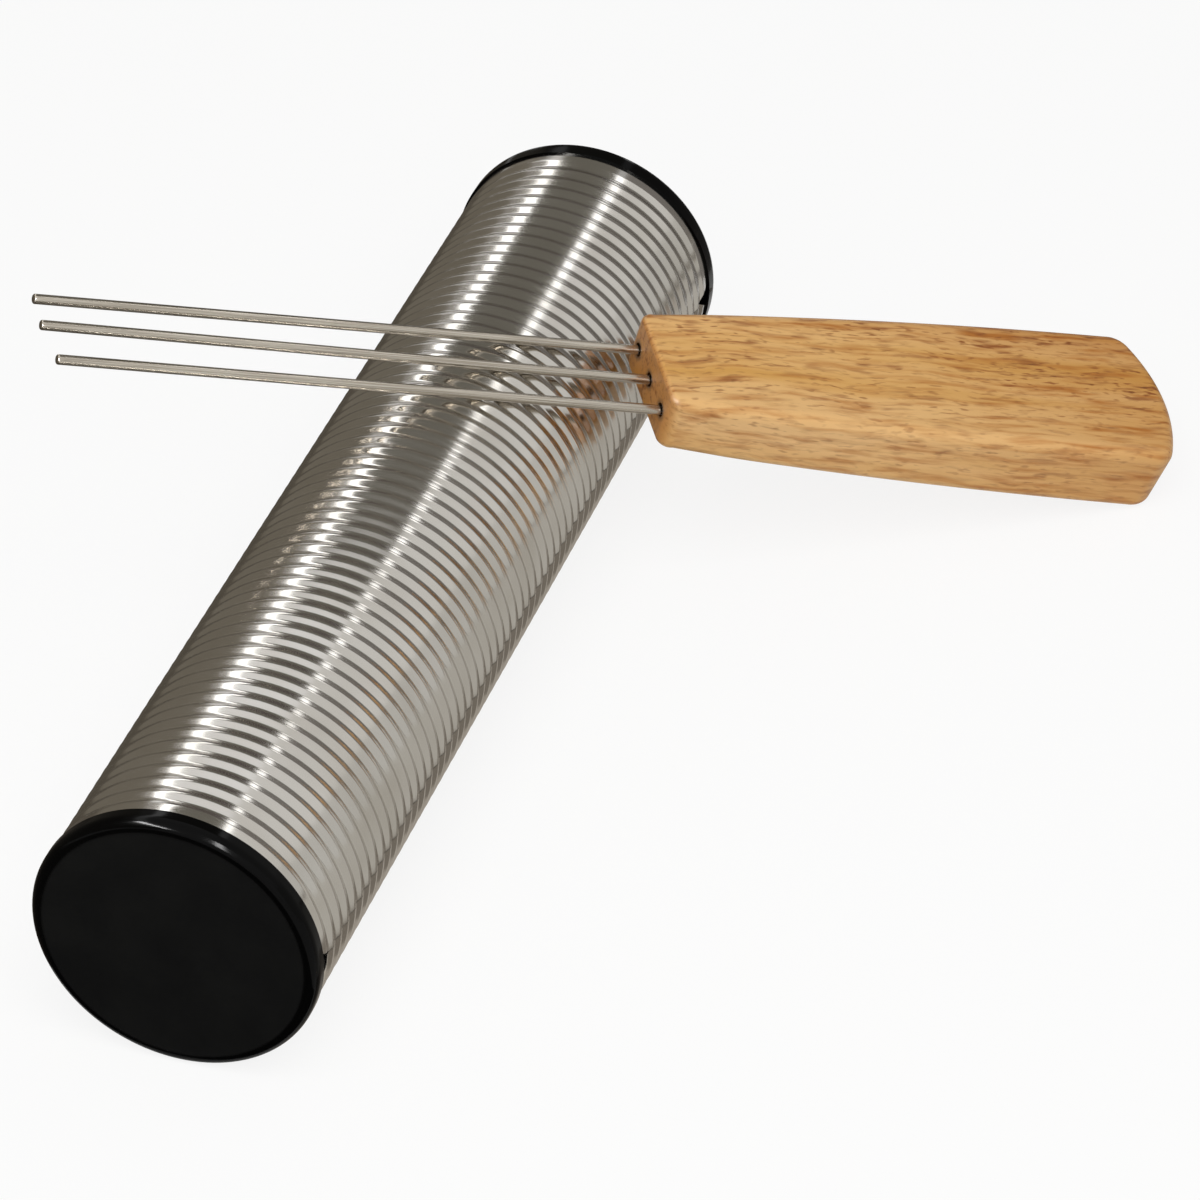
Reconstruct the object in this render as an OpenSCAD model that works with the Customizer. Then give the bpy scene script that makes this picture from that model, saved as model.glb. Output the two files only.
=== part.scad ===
// Guiro shaker: a ribbed steel tube closed by two push-in caps, with loose shot inside,
// and a scraper with three steel tines in a wooden handle, leaning across the tube.
// Millimetres, +Z up. The tube lies along Y, and the origin is on the table under its sheet's middle.

/* [Tube] */
// Outer diameter over the rib crests
tube_d = 60; // [54:1:66]
// Length of the sheet that shows between the two cap flanges
sheet_length = 253; // [240:1:290]
// Thickness of the rolled sheet
sheet_t = 0.6; // [0.4:0.1:0.8]

/* [Ribs] */
// Number of grooves rolled round the tube
groove_count = 60; // [50:1:62]
// Depth of a groove below the crests
groove_depth = 0.5; // [0.3:0.05:0.6]
// Distance from each end of the sheet to the middle of its first groove
end_land = 4.6; // [4:0.1:5]

/* [Seam] */
// Place of the sheet's butt seam, in degrees from the top towards +X
seam_angle = 92; // [60:1:120]
// Gap between the two edges of the sheet
seam_gap = 0.4; // [0.2:0.1:0.8]
// Length of each clipped sheet corner along the tube
clip_length = 5; // [3:0.5:7]
// Width of each clipped sheet corner round the tube
clip_width = 3.3; // [2:0.1:4]

/* [End caps] */
// Thickness of the front cap's flange
front_flange_t = 4.4; // [3:0.1:6]
// Thickness of the rear cap's flange
rear_flange_t = 5.2; // [3:0.1:6]
// Height of each flange over the rib crests
flange_over = 0.5; // [0.1:0.1:1]
// Radius of the rounded rim of each flange
rim_r = 2.4; // [0.6:0.1:2.8]
// Length of the sleeve that is pushed into the tube
sleeve_length = 12; // [10:0.5:12.5]
// Wall thickness of the sleeve
sleeve_t = 2.2; // [1.6:0.1:3]
// Interference between the sleeve and the inside of the ribs, on the radius
press_grip = 0.05; // [0.02:0.01:0.1]

/* [Shot] */
// Diameter of one steel ball
ball_d = 4; // [3:0.5:4.5]
// Number of balls in one lane
balls_per_lane = 6; // [3:1:10]
// Distance between neighbouring balls in a lane
ball_pitch = 5; // [4.6:0.1:6]
// Distance by which neighbouring lanes are staggered along the tube
lane_stagger = 16; // [0:1:40]

/* [Scraper handle] */
// Length of the wooden handle
handle_length = 129; // [110:1:140]
// Width of the handle at its front end, where the tines enter
front_w = 29.2; // [26:0.2:34]
// Width of the handle at its rear end
rear_w = 39.6; // [34:0.2:44]
// Thickness of the handle at its front end
front_t = 15; // [12:0.2:16]
// Thickness of the handle at its rear end
rear_t = 17.6; // [16:0.2:20]
// Radius of the eased long edges
edge_r = 3; // [2:0.1:4]
// Radius of the eased edges of the front end
front_edge_r = 1.4; // [0.8:0.1:2]
// Radius of the front corners, seen from above
front_corner_r = 5; // [4.5:0.1:6]
// Set-back of the front end's lower edge behind its upper edge
front_rake = 2.2; // [0:0.1:3]
// Radius of the rear corners, seen from above
rear_corner_r = 5.8; // [4.5:0.1:8]
// Rise of the crowned rear end over its corners
rear_crown = 2.6; // [1:0.1:4]

/* [Tines] */
// Diameter of a tine
tine_d = 2.2; // [1.8:0.1:3]
// Distance between neighbouring tines where they leave the handle
tine_pitch = 9.2; // [8:0.1:10]
// Free length of the far, middle and near tine
tine_reach = [140.5, 140.5, 139]; // [120:0.5:150]
// Lean of the far, middle and near tine in their common plane, in degrees
tine_lean = [0.3, -0.3, 0]; // [-0.5:0.1:0.5]
// Length of each tine inside the handle
bore_depth = 30; // [20:1:40]
// Bevel at each tine's tip and at the mouth of its hole
tine_bevel = 0.4; // [0.2:0.1:0.6]

/* [Resting pose] */
// Where the middle tine crosses the tube, measured from the sheet's middle
cross_y = 42; // [-40:0.2:50]
// Turn of the scraper away from square to the tube, in degrees
scraper_turn = 35.5; // [20:0.5:45]
// Distance from that crossing to the front of the handle
cross_to_handle = 32.2; // [31:0.2:45]
// Clearance between the tines and the rib crests
tine_clearance = 0.2; // [0.1:0.05:0.4]

/* [Hidden] */
$fn = 96;
// Small overlap that keeps a cut clear of the face it opens
cut_past = 1;
// Steps of each eased edge and corner of the handle, and of half its crowned end
round_steps = 5;
crown_steps = 4;

tube_r = tube_d / 2;
half_sheet = sheet_length / 2;
// The tube lies on its two flanges, so their radius is the height of its axis
flange_r = tube_r + flange_over;

// The rib wave is made of equal arcs that meet at its middle radius
groove_pitch = (sheet_length - 2 * end_land) / (groove_count - 1);
wave_rise = groove_depth / 2;
wave_r = pow(groove_pitch / 2, 2) / (8 * wave_rise) + wave_rise / 2;
wave_slope = asin(groove_pitch / 4 / wave_r);
mid_r = tube_r - wave_rise;
mid_inner_r = mid_r - sheet_t * cos(wave_slope);
crest_centre_r = tube_r - wave_r;
groove_centre_r = tube_r - groove_depth + wave_r;
bead_r = tube_r - groove_depth - sheet_t;
first_groove = end_land - half_sheet;
ribbed_half = half_sheet - end_land + groove_pitch / 2;

seam_gap_angle = 2 * asin(seam_gap / 2 / tube_r);
sleeve_r = bead_r + press_grip;

// The balls lie on the inside of the ribs, in lanes side by side
lane_count = 5;
ball_r = ball_d / 2;
ball_clearance = 0.3;
lane_r = bead_r - ball_clearance - ball_r;
lane_angle = 2 * asin((ball_r + ball_clearance) / lane_r);

tine_r = tine_d / 2;
plane_r = tube_r + tine_clearance + tine_r;

// The rear end is one wide arc between two rounded corners
corner_y = rear_w / 2 - rear_corner_r;
crown_r = (corner_y * corner_y + rear_crown * rear_crown) / (2 * rear_crown);
crown_angle = asin(corner_y / (crown_r - rear_corner_r));
crown_drop = crown_r - rear_corner_r - (crown_r - rear_corner_r) * cos(crown_angle);

// The scraper leans about the tube until its lowest rear corner meets the table
corner_x = cross_to_handle + handle_length - crown_drop - rear_corner_r;
lean_reach = corner_x * cos(scraper_turn) + corner_y * sin(scraper_turn) + rear_corner_r - edge_r;
lean_rise = plane_r - rear_t / 2 + edge_r;
scraper_lean = acos((edge_r - flange_r) / norm([lean_reach, lean_rise])) - atan2(lean_reach, lean_rise);

// Turns a shape built along Z to run along the tube
module along_tube() {
    translate([0, 0, flange_r])
        rotate([-90, 0, 0])
            children();
}

// Half-plane of a revolved profile, on the far or the near side of a radius
module beyond(radius) {
    translate([radius, -sheet_length])
        square([tube_d, 2 * sheet_length]);
}

module within(radius) {
    translate([radius - tube_d, -sheet_length])
        square([tube_d, 2 * sheet_length]);
}

// Cross-section of the rolled sheet: a band cut by the grooves, with crests and beads added
module sheet_profile() {
    difference() {
        translate([mid_inner_r, -ribbed_half])
            square([mid_r - mid_inner_r, 2 * ribbed_half]);
        for (k = [0 : groove_count - 1])
            translate([groove_centre_r, first_groove + k * groove_pitch])
                circle(r = wave_r);
        for (k = [0 : groove_count])
            translate([crest_centre_r, first_groove + (k - 0.5) * groove_pitch])
                circle(r = wave_r - sheet_t);
    }
    for (k = [0 : groove_count])
        intersection() {
            translate([crest_centre_r, first_groove + (k - 0.5) * groove_pitch])
                circle(r = wave_r);
            beyond(mid_r);
        }
    for (k = [0 : groove_count - 1])
        intersection() {
            translate([groove_centre_r, first_groove + k * groove_pitch])
                circle(r = wave_r + sheet_t);
            within(mid_inner_r);
        }
    for (start = [-half_sheet, ribbed_half])
        translate([tube_r - sheet_t, start])
            square([sheet_t, half_sheet - ribbed_half]);
}

// Wedge that clips the sheet's two corners at one end of the seam
module seam_clip() {
    translate([tube_r / 2, 0, -half_sheet])
        rotate([90, 0, 90])
            linear_extrude(tube_r)
                polygon([
                    [-clip_width, 0], [-clip_width, -cut_past], [clip_width, -cut_past],
                    [clip_width, 0], [0, clip_length]
                ]);
}

module ribbed_tube() {
    color("silver")
        along_tube()
            rotate([0, 0, seam_angle - 90])
                difference() {
                    rotate([0, 0, seam_gap_angle / 2])
                        rotate_extrude(angle = 360 - seam_gap_angle)
                            sheet_profile();
                    seam_clip();
                    mirror([0, 0, 1])
                        seam_clip();
                }
}

// A cap with its outer face at the bottom and its sleeve pointing up
module end_cap(flange_t) {
    rotate_extrude() {
        square([flange_r - rim_r, flange_t]);
        translate([0, rim_r])
            square([flange_r, flange_t - rim_r]);
        translate([flange_r - rim_r, rim_r])
            circle(r = rim_r);
        translate([sleeve_r - sleeve_t, flange_t])
            square([sleeve_t, sleeve_length]);
    }
}

module front_cap() {
    color("black")
        along_tube()
            translate([0, 0, -half_sheet - front_flange_t])
                end_cap(front_flange_t);
}

module rear_cap() {
    color("black")
        along_tube()
            mirror([0, 0, 1])
                translate([0, 0, -half_sheet - rear_flange_t])
                    end_cap(rear_flange_t);
}

// One lane of balls on the tube's floor, counted from the -X side
module shot_lane(lane) {
    side = lane - (lane_count + 1) / 2;
    shift = (lane % 2 == 0 ? 1 : -1) * lane_stagger / 2;
    color("dimgray")
        along_tube()
            rotate([0, 0, 90 - side * lane_angle])
                for (k = [0 : balls_per_lane - 1])
                    translate([lane_r, 0, shift + (k - (balls_per_lane - 1) / 2) * ball_pitch])
                        sphere(d = ball_d);
}

// Puts the scraper on the tube: the front of its handle is at x = 0, with the tines along -X
module on_tube() {
    translate([0, cross_y, flange_r])
        rotate([0, scraper_lean, 0])
            translate([0, 0, plane_r])
                rotate([0, 0, scraper_turn])
                    translate([cross_to_handle, 0, 0])
                        children();
}

// Places a shape built along +X on one tine's axis: 1 is the far tine, -1 the near one
module on_tine_axis(row) {
    translate([0, row * tine_pitch, 0])
        rotate([0, 0, tine_lean[1 - row]])
            rotate([0, 90, 0])
                children();
}

// Half thickness of the handle at a distance from its front
function half_thickness(x) = (front_t + (rear_t - front_t) * bow(x / handle_length)) / 2;

// Share of the growth from front to rear that is reached at a share of the length
function bow(share) = 1 - pow(1 - min(share, 1), 2);

// One side of the handle seen from above, from the front to the middle of the rear end.
// Each entry is the centre, radius and direction of a round, the radius of its eased edge,
// and how far it is set back at the lower face.
front_rounds = [
    for (k = [0 : round_steps])
        let (turn = 90 * k / round_steps)
        [front_corner_r, front_w / 2 - front_corner_r, front_corner_r, 180 - turn,
            front_edge_r + (edge_r - front_edge_r) * turn / 90, front_rake]
];
side_rounds = [
    for (share = [0.2 : 0.2 : 0.8])
        let (growth = (rear_w - front_w) / handle_length * (1 - share))
        let (half_w = (front_w + (rear_w - front_w) * bow(share)) / 2)
        [share * handle_length, half_w - edge_r, edge_r, 90 + atan(growth), edge_r, 0]
];
rear_rounds = [
    for (k = [0 : round_steps])
        let (turn = (90 - crown_angle) * k / round_steps)
        [handle_length - crown_drop - rear_corner_r, corner_y, rear_corner_r, 90 - turn, edge_r, 0]
];
crown_rounds = [
    for (k = [1 : crown_steps])
        [handle_length - crown_r, 0, crown_r, crown_angle * (1 - k / crown_steps), edge_r, 0]
];
rounds = concat(front_rounds, side_rounds, rear_rounds, crown_rounds);

// A point of the handle's skin: on one round, on its +Y or -Y side, at an angle over its edge
function skin_point(round, side, over, level) =
    let (inset = round[4] * (1 - cos(over)))
    let (x = round[0] + (round[2] - inset) * cos(round[3]))
    let (y = round[1] + (round[2] - inset) * sin(round[3]))
    let (z = level * (half_thickness(x) - round[4] * (1 - sin(over))))
    [x + round[5] * (0.5 - z / front_t), side * y, z];

// Both sides in one loop: the +Y side to the rear, then the -Y side back to the front
function skin_ring(over, level) = concat(
    [for (round = rounds) skin_point(round, 1, over, level)],
    [for (k = [len(rounds) - 2 : -1 : 0]) skin_point(rounds[k], -1, over, level)]
);

module handle_blank() {
    overs = [for (k = [0 : round_steps]) 90 * k / round_steps];
    rings = concat(
        [for (k = [round_steps : -1 : 0]) skin_ring(overs[k], -1)],
        [for (over = overs) skin_ring(over, 1)]
    );
    size = len(rings[0]);
    top = (len(rings) - 1) * size;
    walls = [
        for (r = [0 : len(rings) - 2], k = [0 : size - 1])
            let (a = r * size + k)
            let (b = r * size + (k + 1) % size)
            each [[a, a + size, b], [b, a + size, b + size]]
    ];
    tip = len(rounds) - 2;
    strips = [
        for (k = [0 : tip - 1])
            let (mate = size - 1 - k)
            each [[k, k + 1, mate], [k + 1, mate - 1, mate]]
    ];
    floor_faces = concat(strips, [[tip, tip + 1, tip + 2]]);
    roof_faces = [for (f = floor_faces) [top + f[2], top + f[1], top + f[0]]];
    polyhedron(points = [for (ring = rings) each ring], faces = concat(walls, floor_faces, roof_faces));
}

// Hole for one tine, with a bevelled mouth
module tine_hole() {
    translate([0, 0, -cut_past])
        cylinder(d = tine_d, h = bore_depth + cut_past);
    translate([0, 0, -cut_past])
        cylinder(r1 = tine_r + tine_bevel + cut_past, r2 = tine_r, h = tine_bevel + cut_past);
}

module scraper_handle() {
    color("burlywood")
        on_tube()
            difference() {
                handle_blank();
                for (row = [-1 : 1])
                    on_tine_axis(row)
                        tine_hole();
            }
}

module tine(row) {
    reach = tine_reach[1 - row];
    color("gainsboro")
        on_tube()
            on_tine_axis(row) {
                translate([0, 0, tine_bevel - reach])
                    cylinder(d = tine_d, h = reach - tine_bevel + bore_depth);
                translate([0, 0, -reach])
                    cylinder(r1 = tine_r - tine_bevel, r2 = tine_r, h = tine_bevel);
            }
}

ribbed_tube();
front_cap();
rear_cap();
shot_lane(1);  // shot_lane_1
shot_lane(2);  // shot_lane_2
shot_lane(3);  // shot_lane_3
shot_lane(4);  // shot_lane_4
shot_lane(5);  // shot_lane_5
scraper_handle();
tine(1);  // tine_far
tine(0);  // tine_middle
tine(-1);  // tine_near
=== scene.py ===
"""Guiro shaker: a ribbed steel tube with caps and loose shot, and the wooden scraper that leans on it.

Sizes are written in millimetres, as on a workshop drawing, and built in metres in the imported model's frame.
"""

import logging
import math
from dataclasses import dataclass
from enum import Enum
from functools import partial
from typing import Any, Callable, Sequence

import bpy
import numpy as np
from bpy.types import Material, Mesh, Node, NodeSocket, NodeTree, Object
from mathutils import Matrix, Vector


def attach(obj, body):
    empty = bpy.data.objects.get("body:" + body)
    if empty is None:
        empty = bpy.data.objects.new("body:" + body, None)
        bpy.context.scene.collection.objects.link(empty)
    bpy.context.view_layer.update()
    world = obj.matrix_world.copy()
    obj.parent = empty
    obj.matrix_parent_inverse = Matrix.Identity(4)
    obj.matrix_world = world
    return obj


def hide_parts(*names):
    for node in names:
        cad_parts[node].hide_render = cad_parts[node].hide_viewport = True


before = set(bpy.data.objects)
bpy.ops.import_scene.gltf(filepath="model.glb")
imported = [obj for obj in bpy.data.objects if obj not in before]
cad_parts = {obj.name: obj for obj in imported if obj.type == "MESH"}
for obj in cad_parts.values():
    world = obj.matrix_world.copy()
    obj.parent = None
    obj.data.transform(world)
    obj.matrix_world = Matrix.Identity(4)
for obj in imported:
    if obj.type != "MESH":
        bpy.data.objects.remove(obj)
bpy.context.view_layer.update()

# Two ends of a range, and a function that adds a node to one material
Span = tuple[float, float]
Adder = Callable[..., Node]

LOG = logging.getLogger("guiro_shaker")
MM = 0.001
# Sizes that pieces share, in millimetres: the height of the tube's axis over the table, half the sheet's
# length, and the step from tine to tine
AXIS_HEIGHT = 30.5
HALF_SHEET = 126.5
TINE_PITCH = 9.2
# Most values of a noise lie in this span
NOISE_SPAN = {"From Min": 0.3, "From Max": 0.7}
# An edge that turns by more than this stays crisp
SHARP_ANGLE = math.radians(40)


class Body(str, Enum):
    """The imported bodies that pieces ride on."""

    TUBE = "tube"
    SCRAPER = "scraper"


class Slot(str, Enum):
    """The record's material slots."""

    SHEET = "polished_sheet"
    CAP = "cap_plastic"
    SHOT = "shot_steel"
    WOOD = "handle_wood"
    WIRE = "tine_wire"


def linear(code: str) -> tuple[float, float, float, float]:
    """Turns an sRGB hex colour to linear light.

    Args:
        code: six hex digits.

    Returns:
        Red, green, blue and a full alpha.
    """
    parts = [int(code[k:k + 2], 16) / 255 for k in (0, 2, 4)]
    red, green, blue = (p / 12.92 if p <= 0.04045 else ((p + 0.055) / 1.055) ** 2.4 for p in parts)
    return red, green, blue, 1.0


def repeats(*sizes: float) -> tuple[float, ...]:
    """Returns how often patterns of these sizes, in millimetres, repeat in a millimetre."""
    return tuple(1 / size for size in sizes)


def add_node(tree: NodeTree, kind: str, inputs: dict | None = None, **settings: Any) -> Node:
    """Adds one shader node with its settings, input values and links.

    Args:
        tree: node tree that takes the node.
        kind: the node's type, without the leading ShaderNode.
        inputs: values, output sockets or nodes (for their first output), by the input's name or number.
        settings: the node's own properties; stops holds the place and sRGB hex of each colour of a ramp.

    Returns:
        The new node.
    """
    node = tree.nodes.new("ShaderNode" + kind)
    stops = settings.pop("stops", ())
    for name, value in settings.items():
        setattr(node, name, value)
    for key, value in (inputs or {}).items():
        source = value.outputs[0] if isinstance(value, Node) else value
        if isinstance(source, NodeSocket):
            tree.links.new(source, node.inputs[key])
        else:
            node.inputs[key].default_value = value
    for k, (place, code) in enumerate(stops):
        elements = node.color_ramp.elements
        element = elements[k] if k < len(elements) else elements.new(place)
        element.position, element.color = place, linear(code)
    return node


def new_material(name: str) -> tuple[Material, Adder]:
    """Makes an empty node material.

    Args:
        name: the material's name.

    Returns:
        The material, and the function that adds a node to it.
    """
    material = bpy.data.materials.new(name)
    material.use_nodes = True
    material.node_tree.nodes.clear()
    return material, partial(add_node, material.node_tree)


def millimetres(add: Adder, place: Matrix) -> NodeSocket:
    """Gives the shaded point in a piece's own frame, in millimetres.

    Args:
        add: adds a node to the material.
        place: the piece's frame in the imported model's frame.

    Returns:
        The point's socket.
    """
    back = place.inverted()
    point = add("TexCoord").outputs["Object"]
    placed = {"Location": back.translation / MM, "Rotation": back.to_euler(), "Scale": (1 / MM,) * 3}
    return add("Mapping", {"Vector": point, **placed}).outputs[0]


def mesh_piece(
    name: str, points: np.ndarray, faces: Sequence[Sequence[int]], place: Matrix | None = None
) -> Object:
    """Makes a smooth-shaded object whose hard edges stay crisp.

    Args:
        name: the piece's name.
        points: vertices in millimetres, in the piece's own frame.
        faces: vertex numbers of each face.
        place: the piece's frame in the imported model's frame.

    Returns:
        The new object, at the origin.
    """
    mesh = bpy.data.meshes.new(name)
    mesh.from_pydata((np.asarray(points, float).reshape(-1, 3) * MM).tolist(), [], [list(f) for f in faces])
    if place is not None:
        mesh.transform(place)
    mesh.update()
    soften(mesh)
    piece = bpy.data.objects.new(name, mesh)
    bpy.context.scene.collection.objects.link(piece)
    return piece


def soften(mesh: Mesh) -> None:
    """Shades a mesh smooth between its hard edges.

    Args:
        mesh: the mesh to shade.
    """
    mesh.polygons.foreach_set("use_smooth", np.ones(len(mesh.polygons), bool))
    mesh.set_sharp_from_angle(angle=SHARP_ANGLE)


def band_faces(rows: int, columns: int, closed: bool) -> list[tuple[int, ...]]:
    """Numbers the quads of a grid of vertices stored row by row.

    Args:
        rows: number of rows.
        columns: number of vertices in a row.
        closed: whether each row is a closed loop.

    Returns:
        The vertex numbers of each quad.
    """
    faces = []
    for r in range(rows - 1):
        here, there = r * columns, (r + 1) * columns
        for c in range(columns if closed else columns - 1):
            d = (c + 1) % columns
            faces.append((here + c, here + d, there + d, there + c))
    return faces


def lathe(name: str, section: Sequence[tuple[float, float]], steps: int, place: Matrix) -> Object:
    """Turns a section round Z and closes both its ends.

    Args:
        name: the piece's name.
        section: radius and height of each point, with the piece's material on the left of the way up.
        steps: number of vertices in each ring.
        place: the piece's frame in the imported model's frame.

    Returns:
        The new object.
    """
    turns = np.linspace(0, 2 * math.pi, steps, endpoint=False)
    points = [(r * math.cos(a), r * math.sin(a), h) for r, h in section for a in turns]
    faces = band_faces(len(section), steps, True)
    faces.append(tuple(range(steps))[::-1])
    faces.append(tuple(range((len(section) - 1) * steps, len(section) * steps)))
    return mesh_piece(name, np.array(points), faces, place)


def settle(piece: Object, material: Material, body: Body, node: str) -> None:
    """Dresses a new piece, and ties it to its body and the node it stands for.

    Args:
        piece: the new object.
        material: its finish.
        body: the body it rides on.
        node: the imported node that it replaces.
    """
    piece.data.materials.clear()
    piece.data.materials.append(material)
    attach(piece, body.value)
    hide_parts(node)
    LOG.info("%s: %d faces on %s", piece.name, len(piece.data.polygons), body.value)


@dataclass(frozen=True)
class RolledSteelFinish:
    """Stainless sheet, rolled into ribs and polished."""

    tint: str = "d0cdc8"
    smudge_tint: str = "c4c0b9"
    roughness: Span = (0.125, 0.185)
    smudge_roughness: float = 0.05
    mark_length: float = 14.0
    mark_spacing: float = 0.35
    smudge_size: float = 16.0

    def build(self) -> Material:
        """Builds the finish.

        Returns:
            The material.
        """
        # To the eye: a warm mirror, blurred a little by faint marks round the tube and by soft smudges
        material, add = new_material("polished_stainless_sheet")
        point = millimetres(add, Matrix.Translation((0, 0, AXIS_HEIGHT * MM)))
        # Polishing marks are drawn coarser than real ones, so that they show
        spacing = repeats(self.mark_length, self.mark_spacing, self.mark_length)
        drawn_out = add("Mapping", {"Vector": point, "Scale": spacing})
        marks = add("TexNoise", {"Vector": drawn_out, "Scale": 1.0, "Detail": 3.0})
        smudges = add("TexNoise", {"Vector": point, "Scale": 1 / self.smudge_size, "Detail": 2.0})
        smooth, marked = self.roughness
        gloss = add("MapRange", {"Value": marks, **NOISE_SPAN, "To Min": smooth, "To Max": marked})
        worn = add("MapRange", {
            "Value": smudges, "From Min": 0.5, "From Max": 0.75, "To Max": self.smudge_roughness})
        rough = add("Math", {0: gloss, 1: worn}, operation="ADD")
        colour = add("ValToRGB", {"Fac": smudges}, stops=((0.35, self.tint), (0.75, self.smudge_tint)))
        shader = add("BsdfPrincipled", {"Base Color": colour, "Metallic": 1.0, "Roughness": rough})
        add("OutputMaterial", {"Surface": shader})
        return material


@dataclass(frozen=True)
class MouldedCapFinish:
    """Black polyethylene, moulded, with a satin face and a polished rim."""

    colour: str = "0d0d0d"
    worn_colour: str = "111110"
    # Painted shade: the rim's base colour is darker than the face's
    rim_shade_colour: str = "040404"
    face_roughness: float = 0.5
    rim_roughness: float = 0.12
    wear_roughness: Span = (-0.01, 0.02)
    grain_size: float = 0.6
    wear_size: float = 9.0
    face_radius: float = 28.1
    fade: float = 0.6
    grain_strength: float = 0.15
    grain_depth: float = 0.05
    specular: float = 0.07

    def build(self) -> Material:
        """Builds the finish.

        Returns:
            The material.
        """
        # To the eye: near black, dull on the face and with sharp highlights along the rim
        material, add = new_material("moulded_black_polyethylene")
        point = millimetres(add, Matrix.Translation((0, 0, AXIS_HEIGHT * MM)))
        flat = add("VectorMath", {0: point, 1: (1.0, 0.0, 1.0)}, operation="MULTIPLY")
        reach = add("VectorMath", {0: flat}, operation="LENGTH").outputs["Value"]
        wear = add("TexNoise", {"Vector": point, "Scale": 1 / self.wear_size, "Detail": 4.0})
        # The spark-eroded grain is drawn coarser than the real one, so that it shows
        grain = add("TexNoise", {"Vector": point, "Scale": 1 / self.grain_size, "Detail": 2.0})
        face_to_rim = {"Value": reach, "From Min": self.face_radius - self.fade, "From Max": self.face_radius}
        rim = add("MapRange", {**face_to_rim, "To Min": self.face_roughness, "To Max": self.rim_roughness})
        depth = add("MapRange", {**face_to_rim, "To Min": self.grain_strength, "To Max": 0.0})
        whole, worn = self.wear_roughness
        patches = add("MapRange", {
            "Value": wear, "From Min": 0.35, "From Max": 0.7, "To Min": whole, "To Max": worn})
        rough = add("Math", {0: rim, 1: patches}, operation="ADD")
        bump = add("Bump", {"Height": grain, "Strength": depth, "Distance": self.grain_depth * MM})
        face = add("ValToRGB", {"Fac": wear}, stops=((0.3, self.colour), (0.8, self.worn_colour)))
        # The rim's base colour is darker than the face's: painted shade, so that the polished rim reads black
        rim_shade_share = add("MapRange", face_to_rim)
        colour = add("Mix", {0: rim_shade_share, 6: face, 7: linear(self.rim_shade_colour)}, data_type="RGBA")
        shader = add("BsdfPrincipled", {
            "Base Color": colour.outputs[2], "Roughness": rough, "IOR": 1.5,
            "Specular IOR Level": self.specular, "Normal": bump})
        add("OutputMaterial", {"Surface": shader})
        return material


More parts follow.
